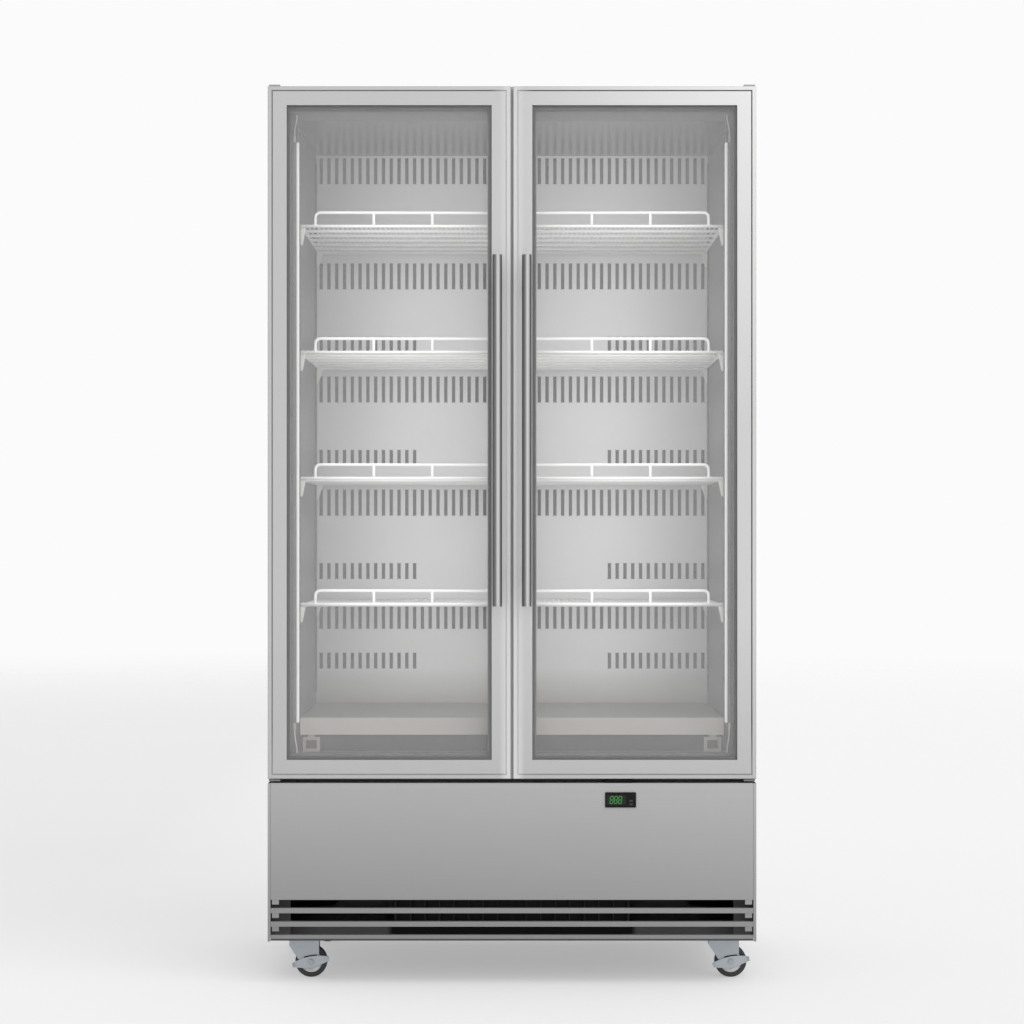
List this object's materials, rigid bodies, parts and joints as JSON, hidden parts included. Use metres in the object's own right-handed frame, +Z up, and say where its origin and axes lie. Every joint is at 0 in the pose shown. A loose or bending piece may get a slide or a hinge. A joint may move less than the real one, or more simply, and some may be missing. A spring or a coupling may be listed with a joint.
{
  "type": "glass door display fridge",
  "caption": "Upright glass door display fridge on casters: hinged framed doors, wire shelves, edge lights, slotted air duct and a louvred machine compartment.",
  "frame": {"origin": "on the floor, at the middle of the outer box", "axes": "+Z up, +Y from the door handles to the rear panel, +X to the right as seen from the front"},
  "size_m": [1.13, 0.7602, 2.083],
  "materials": {
    "cabinet_paint": "satin",
    "galvanised_sheet": "satin",
    "insulation_foam": "matte",
    "liner_sheet": "satin",
    "duct_sheet": "satin",
    "clip_plastic": "satin",
    "deck_sheet": "satin",
    "shelf_wire": "gloss",
    "light_diffuser": "satin",
    "lead_plastic": "satin",
    "zinc_plate": "satin",
    "black_plastic": "satin",
    "display_window": "gloss",
    "key_plastic": "matte",
    "coil_aluminium": "satin",
    "motor_shell": "satin",
    "compressor_shell": "satin",
    "copper_pipe": "satin",
    "door_aluminium": "satin",
    "door_glass": "polished",
    "glazing_spacer": "satin",
    "gasket_rubber": "matte",
    "handle_steel": "satin",
    "wheel_rubber": "matte",
    "lever_paint": "satin"
  },
  "bodies": {
    "cabinet": {"left_side_panel": "cabinet_paint", "right_side_panel": "cabinet_paint", "top_panel": "cabinet_paint", "front_cheeks": "cabinet_paint", "front_panel": "cabinet_paint", "louvre_slats": "cabinet_paint", "rear_panel": "galvanised_sheet", "rear_grille": "galvanised_sheet", "cabinet_floor_pan": "galvanised_sheet", "base_tray": "galvanised_sheet", "fan_shroud": "galvanised_sheet", "foam_insulation": "insulation_foam", "inner_liner": "liner_sheet", "centre_mullion": "liner_sheet", "front_frame": "liner_sheet", "back_duct_panel": "duct_sheet", "pilasters": "duct_sheet", "shelf_clips": "clip_plastic", "deck_feet": "clip_plastic", "floor_deck": "deck_sheet", "shelves_level_1": "shelf_wire", "shelves_level_2": "shelf_wire", "shelves_level_3": "shelf_wire", "shelves_level_4": "shelf_wire", "led_lights": "light_diffuser", "led_leads": "lead_plastic", "hinge_brackets": "zinc_plate", "caster_plates": "zinc_plate", "controller_housing": "black_plastic", "controller_lens": "display_window", "condenser_coil": "coil_aluminium", "evaporator_coil": "coil_aluminium", "condenser_fan_motor": "motor_shell", "evaporator_fan_motor": "motor_shell", "compressor": "compressor_shell", "refrigerant_pipes": "copper_pipe"},
    "left_door": {"left_door_frame": "door_aluminium", "left_door_glass": "door_glass", "left_door_spacer": "glazing_spacer", "left_door_gasket": "gasket_rubber", "left_door_handle": "handle_steel"},
    "right_door": {"right_door_frame": "door_aluminium", "right_door_glass": "door_glass", "right_door_spacer": "glazing_spacer", "right_door_gasket": "gasket_rubber", "right_door_handle": "handle_steel"},
    "front_left_caster": {"front_left_caster_fork": "zinc_plate"},
    "front_left_wheel": {"front_left_caster_wheel": "wheel_rubber"},
    "front_right_caster": {"front_right_caster_fork": "zinc_plate"},
    "front_right_wheel": {"front_right_caster_wheel": "wheel_rubber"},
    "rear_left_caster": {"rear_left_caster_fork": "zinc_plate"},
    "rear_left_wheel": {"rear_left_caster_wheel": "wheel_rubber"},
    "rear_right_caster": {"rear_right_caster_fork": "zinc_plate"},
    "rear_right_wheel": {"rear_right_caster_wheel": "wheel_rubber"},
    "front_left_brake": {"front_left_brake_lever": "lever_paint"},
    "front_right_brake": {"front_right_brake_lever": "lever_paint"},
    "condenser_fan": {"condenser_fan_blade": "black_plastic"},
    "evaporator_fan": {"evaporator_fan_blade": "black_plastic"},
    "upper_key": {"upper_key": "key_plastic"},
    "lower_key": {"lower_key": "key_plastic"}
  },
  "joints": [
    {"name": "left_door_hinge", "type": "hinge", "parent": "cabinet", "child": "left_door", "pos_m": [-0.55, -0.30315, 1.277], "axis": [0, 0, -1], "range_deg": [0, 110]},
    {"name": "right_door_hinge", "type": "hinge", "parent": "cabinet", "child": "right_door", "pos_m": [0.55, -0.30315, 1.277], "axis": [0, 0, 1], "range_deg": [0, 110]},
    {"name": "front_left_swivel", "type": "hinge", "parent": "cabinet", "child": "front_left_caster", "pos_m": [-0.4935, -0.21515, 0.0922], "axis": [0, 0, 1], "continuous": true},
    {"name": "front_left_roll", "type": "hinge", "parent": "front_left_caster", "child": "front_left_wheel", "pos_m": [-0.4725, -0.21515, 0.0375], "axis": [0, 1, 0], "continuous": true},
    {"name": "front_right_swivel", "type": "hinge", "parent": "cabinet", "child": "front_right_caster", "pos_m": [0.4935, -0.21515, 0.0922], "axis": [0, 0, 1], "continuous": true},
    {"name": "front_right_roll", "type": "hinge", "parent": "front_right_caster", "child": "front_right_wheel", "pos_m": [0.5145, -0.21515, 0.0375], "axis": [0, 1, 0], "continuous": true},
    {"name": "rear_left_swivel", "type": "hinge", "parent": "cabinet", "child": "rear_left_caster", "pos_m": [-0.4935, 0.28515, 0.0922], "axis": [0, 0, 1], "continuous": true},
    {"name": "rear_left_roll", "type": "hinge", "parent": "rear_left_caster", "child": "rear_left_wheel", "pos_m": [-0.4725, 0.28515, 0.0375], "axis": [0, 1, 0], "continuous": true},
    {"name": "rear_right_swivel", "type": "hinge", "parent": "cabinet", "child": "rear_right_caster", "pos_m": [0.4935, 0.28515, 0.0922], "axis": [0, 0, 1], "continuous": true},
    {"name": "rear_right_roll", "type": "hinge", "parent": "rear_right_caster", "child": "rear_right_wheel", "pos_m": [0.5145, 0.28515, 0.0375], "axis": [0, 1, 0], "continuous": true},
    {"name": "front_left_brake_rock", "type": "hinge", "parent": "front_left_caster", "child": "front_left_brake", "pos_m": [-0.4725, -0.23415, 0.0375], "axis": [0, 1, 0], "range_deg": [0, 21]},
    {"name": "front_right_brake_rock", "type": "hinge", "parent": "front_right_caster", "child": "front_right_brake", "pos_m": [0.5145, -0.23415, 0.0375], "axis": [0, 1, 0], "range_deg": [0, 21]},
    {"name": "condenser_fan_spin", "type": "hinge", "parent": "cabinet", "child": "condenser_fan", "pos_m": [0, -0.19465, 0.238], "axis": [0, 1, 0], "continuous": true},
    {"name": "evaporator_fan_spin", "type": "hinge", "parent": "cabinet", "child": "evaporator_fan", "pos_m": [0, 0.18815, 0.515], "axis": [0, 1, 0], "continuous": true},
    {"name": "upper_key_press", "type": "slide", "parent": "cabinet", "child": "upper_key", "axis": [0, 1, 0], "range_m": [0, 0.0008], "stiffness_N_per_m": 300},
    {"name": "lower_key_press", "type": "slide", "parent": "cabinet", "child": "lower_key", "axis": [0, 1, 0], "range_m": [0, 0.0008], "stiffness_N_per_m": 300}
  ]
}
